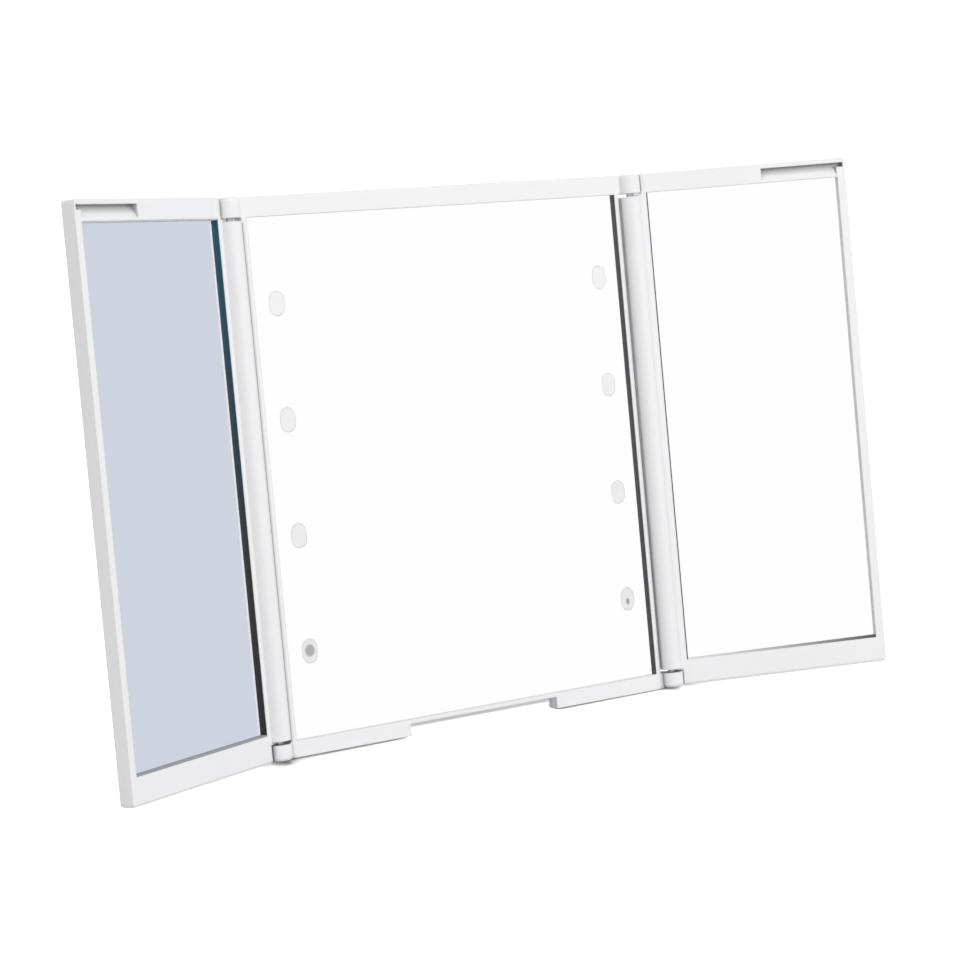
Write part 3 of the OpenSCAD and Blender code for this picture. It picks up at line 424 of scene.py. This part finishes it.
for side, hinge_gap_shade in (("left", teal_gap_shade), ("right", grey_gap_shade)):
    x0, z0, x1, z1 = panes[side]
    place, body = wing_place(side), side + "_wing"
    near = HINGE_GAP_SHADE_W[side]
    gap_shade_bar(side + "_gap_shade_hinge_side", x0, z0, x0 + near, z1, body, place, hinge_gap_shade)
    if side == "left":
        gap_shade_bar("left_gap_shade_bottom", x0 + near, z0, x1, z0 + LEFT_BOTTOM_H, body, place,
                 mid_gap_shade)
        gap_shade_bar("left_gap_shade_top", x0 + near, z1 - LEFT_TOP_H, x1, z1, body, place, pale_gap_shade)
    else:
        gap_shade_bar("right_gap_shade_bottom", x0 + near, z0, x1, z0 + RIGHT_BOTTOM_H, body, place,
                 fading_gap_shade, rise=RIGHT_BOTTOM_RISE)
x0, z0, x1, z1 = panes["centre"]
gap_shade_bar("centre_gap_shade_right_side", x1 - CENTRE_GAP_SHADE_W, z0, x1, z1, "centre", stand_up,
         grey_gap_shade)


# ---------------------------------------------------------------- Stage and light


# The table's painted contact shade, in metres. CONTACT_REACH is how far from the part it is dark.
# CONTACT says how deep it is along the panel, from its left end at 0 to its right at 1:
# it fades to the right on each side of the notch, where there is none.
HALF_PANEL = 0.08
CONTACT_REACH = 0.006
CONTACT_DEPTH = 5.0
CONTACT = [(0.0, 0.9), (0.275, 0.2), (0.294, 0.0), (0.694, 0.0), (0.712, 0.3),
           (0.86, 0.17), (1.0, 0.05)]
# From the middle, where the wings begin, which hang clear of the table. Past them the
# table's glow rises to WING_LIFT: painted light that covers the wings' shade on the table.
WING_SPAN = (0.084, 0.096)
WING_LIFT = 0.85
# The panel's own shade behind it, painted on the table, which shows through the notch:
# where it begins and ends to the rear, where it ends to the sides, and what is left of
# the table's light
BEHIND_START = (0.005, 0.0066)
BEHIND_END = (0.012, 0.04)
BEHIND_SIDE = (0.05, 0.075)
BEHIND_LIGHT = 0.3
TABLE_LIFT = 0.9


def painted_contact_depth(tree, x):
    """How dark the painted contact shade is at a place along the panel."""
    along = add(tree, "ShaderNodeMapRange", {"Value": x, "From Min": middle.x - HALF_PANEL,
                "From Max": middle.x + HALF_PANEL})
    strength = add(tree, "ShaderNodeValToRGB", {"Fac": along.outputs["Result"]})
    marks = strength.color_ramp.elements
    for mark, grey in CONTACT[1:-1]:
        marks.new(mark)
    for element, (mark, grey) in zip(marks, CONTACT):
        element.color = (grey, grey, grey, 1)
    return add(tree, "ShaderNodeMath", {0: strength.outputs["Color"], 1: CONTACT_DEPTH},
               operation="MULTIPLY").outputs[0]


def light_under_painted_shade(tree, y, aside):
    """What is left of the table's light under the painted shade behind the panel, and 1 elsewhere."""
    start = add(tree, "ShaderNodeMapRange", {"Value": y, "From Min": BEHIND_START[0],
                "From Max": BEHIND_START[1]})
    fade = add(tree, "ShaderNodeMapRange", {"Value": y, "From Min": BEHIND_END[0],
               "From Max": BEHIND_END[1], "To Min": start.outputs["Result"], "To Max": 0.0})
    within = add(tree, "ShaderNodeMapRange", {"Value": aside, "From Min": BEHIND_SIDE[0],
                 "From Max": BEHIND_SIDE[1], "To Min": fade.outputs["Result"],
                 "To Max": 0.0})
    return add(tree, "ShaderNodeMapRange", {"Value": within.outputs["Result"],
               "To Min": 1.0, "To Max": BEHIND_LIGHT}).outputs["Result"]


def build_floor():
    """A white table top that shows white to the camera. Its glow carries a painted contact
    shadow along the panel and painted shade behind it, and painted light lifts it past the
    wings; its dull part keeps the real cast shadow.
    """
    bpy.ops.object.select_all(action="DESELECT")
    bpy.ops.mesh.primitive_plane_add(size=60, location=(0, 0, 0))
    floor = bpy.context.object
    floor.name = "table_top"
    made, tree = blank("white_table_painted_shade")
    place = add(tree, "ShaderNodeTexCoord").outputs["Object"]
    parts = add(tree, "ShaderNodeSeparateXYZ", {0: place})
    # Painted shade and light on the glow: dimmed near the parts and behind the panel, lifted past the
    # wings
    near = add(tree, "ShaderNodeAmbientOcclusion", {"Distance": CONTACT_REACH}, samples=8)
    open_air = add(tree, "ShaderNodeMath", {0: near.outputs["AO"],
                   1: painted_contact_depth(tree, parts.outputs["X"])}, operation="POWER")
    aside = add(tree, "ShaderNodeMath", {0: parts.outputs["X"]}, operation="ABSOLUTE")
    past = add(tree, "ShaderNodeMapRange", {"Value": aside.outputs[0],
               "From Min": WING_SPAN[0], "From Max": WING_SPAN[1], "To Min": 0.0,
               "To Max": WING_LIFT})
    open_air = add(tree, "ShaderNodeMath", {0: open_air.outputs[0], 1: past.outputs["Result"]},
                   operation="MAXIMUM")
    open_air = add(tree, "ShaderNodeMath", {0: open_air.outputs[0],
                   1: light_under_painted_shade(tree, parts.outputs["Y"], aside.outputs[0])},
                   operation="MULTIPLY")
    lift = add(tree, "ShaderNodeMath", {0: seen_directly(tree), 1: open_air.outputs[0]},
               operation="MULTIPLY")
    lift = add(tree, "ShaderNodeMath", {0: lift.outputs[0], 1: TABLE_LIFT},
               operation="MULTIPLY")
    glow = add(tree, "ShaderNodeEmission", {"Color": (1, 1, 1, 1), "Strength": lift.outputs[0]})
    top = add(tree, "ShaderNodeBsdfDiffuse", {"Color": (0.8, 0.8, 0.8, 1)})
    both = add(tree, "ShaderNodeAddShader", {0: glow.outputs[0], 1: top.outputs[0]})
    add(tree, "ShaderNodeOutputMaterial", {"Surface": both.outputs[0]})
    floor.data.materials.append(made)


# The surround's level as a light on dull surfaces, where 1 is what the camera sees, the
# share of the rest that a mirror passes on to them, and the cards' level there
DULL_LIGHT = 0.57
MIRROR_SHARE = 0.65
CARD_DULL_LIGHT = 0.2


def light_world():
    """An even pale surround, seen as white by the camera and in the mirrors."""
    world = bpy.data.worlds.new("studio")
    bpy.context.scene.world = world
    world.use_nodes = True
    tree = world.node_tree
    tree.nodes.clear()
    level = add(tree, "ShaderNodeMapRange", {"Value": seen_directly(tree, MIRROR_SHARE),
                "To Min": DULL_LIGHT, "To Max": 1.0})
    sky = add(tree, "ShaderNodeBackground", {"Color": (1, 1, 1, 1),
              "Strength": level.outputs["Result"]})
    add(tree, "ShaderNodeOutputWorld", {"Surface": sky.outputs[0]})


def soft_box(name, spot, aim, width, height, watts):
    """A large soft light."""
    data = bpy.data.lights.new(name, "AREA")
    data.shape = "RECTANGLE"
    data.size, data.size_y, data.energy = width, height, watts
    made = bpy.data.objects.new(name, data)
    bpy.context.scene.collection.objects.link(made)
    made.location = spot
    made.rotation_euler = (Vector(aim) - Vector(spot)).to_track_quat("-Z", "Y").to_euler()
    made.visible_glossy = False


def grey_card(name, spot, size, turn):
    """A grey card that only mirrors see. One stands to the right and one lies on the
    table, so that the left wing's mirror shows an even grey."""
    bpy.ops.object.select_all(action="DESELECT")
    bpy.ops.mesh.primitive_plane_add(size=1, location=spot, rotation=(0, turn, 0))
    card = bpy.context.object
    card.name = name
    card.scale = size
    made, tree = blank(name + "_paper")
    level = add(tree, "ShaderNodeMapRange", {"Value": seen_directly(tree),
                "To Min": CARD_DULL_LIGHT, "To Max": 1.0})
    glow = add(tree, "ShaderNodeEmission", {"Color": tone("CFD4E0"),
               "Strength": level.outputs["Result"]})
    add(tree, "ShaderNodeOutputMaterial", {"Surface": glow.outputs[0]})
    card.data.materials.append(made)
    for ray in ("camera", "diffuse", "shadow", "transmission", "volume_scatter"):
        setattr(card, "visible_" + ray, False)


def build_camera():
    """The photograph's camera, placed in the panel's own directions: to the right,
    up the panel, and forward from its lips."""
    def turn(across, along, forward):
        return Vector((across, -forward, along))
    spot = turn(-553.46, 44.52 + PANEL_H / 2, 820.65)
    right = turn(0.81960, -0.09126, 0.56562)
    down = turn(-0.10597, -0.99435, -0.00688)
    ahead = turn(0.56305, -0.05430, -0.82464)
    lean = stand_up.to_3x3()
    data = bpy.data.cameras.new("camera")
    data.sensor_width, data.lens = 36, 2811 / 960 * 36
    data.clip_start, data.clip_end = 0.05, 20
    made = bpy.data.objects.new("camera", data)
    bpy.context.scene.collection.objects.link(made)
    axes = Matrix([lean @ right, lean @ -down, lean @ -ahead]).transposed()
    quat = axes.to_quaternion()
    quat.normalize()
    made.rotation_mode = "QUATERNION"
    made.rotation_quaternion = quat
    made.location = stand_up @ (spot * MM)
    bpy.context.scene.camera = made


build_floor()
light_world()
soft_box("key", (0.25, -1.8, 0.75), (0, 0, 0.1), 1.0, 1.0, 12.2)
soft_box("overhead", (0.0, -0.25, 1.5), (0, 0, 0.1), 1.0, 1.0, 4.3)
grey_card("standing_card", (0.6, -0.14, 0.3), (1.4, 0.88, 1), math.radians(90))
grey_card("lying_card", (0.2, -0.15, 0.0003), (0.8, 0.9, 1), 0)
build_camera()
bpy.context.scene.view_settings.view_transform = "Standard"
